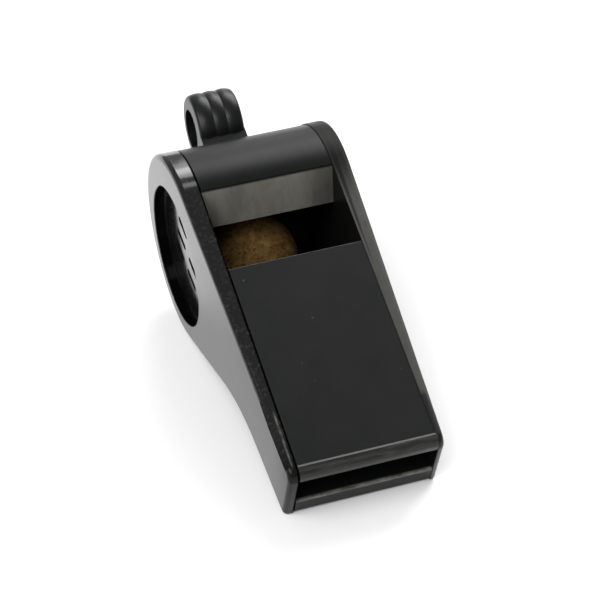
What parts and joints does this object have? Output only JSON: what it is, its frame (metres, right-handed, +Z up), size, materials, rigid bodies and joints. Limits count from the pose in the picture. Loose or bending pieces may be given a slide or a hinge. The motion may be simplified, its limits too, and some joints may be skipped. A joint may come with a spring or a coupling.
{
  "type": "training whistle",
  "caption": "Flat-sided moulded pea whistle with a round barrel, a sounding window, a tapered mouthpiece, a ribbed lanyard eye and a loose cork pea.",
  "frame": {"origin": "on the surface the whistle lies on, under the centre of its bounding box", "axes": "+X across the whistle towards the right side as seen from behind the barrel, +Y from the mouthpiece to the lanyard eye, +Z up in its resting attitude"},
  "size_m": [0.0214, 0.0605, 0.0236],
  "materials": {
    "black_plastic": "satin black injection-moulded plastic",
    "cork": "raw agglomerated cork"
  },
  "bodies": {
    "whistle": {"left_side_cover": "black_plastic", "right_side_wall": "black_plastic", "barrel_shell": "black_plastic", "windway_roof": "black_plastic", "windway_floor": "black_plastic", "lanyard_loop": "black_plastic"},
    "pea": {"cork_pea": "cork"}
  },
  "joints": [
    {"name": "pea_roll", "type": "hinge", "parent": "whistle", "child": "pea", "pos_m": [-0.00125, 0.00935, 0.0118], "axis": [1, 0, 0], "range_deg": [-80, 155]}
  ]
}
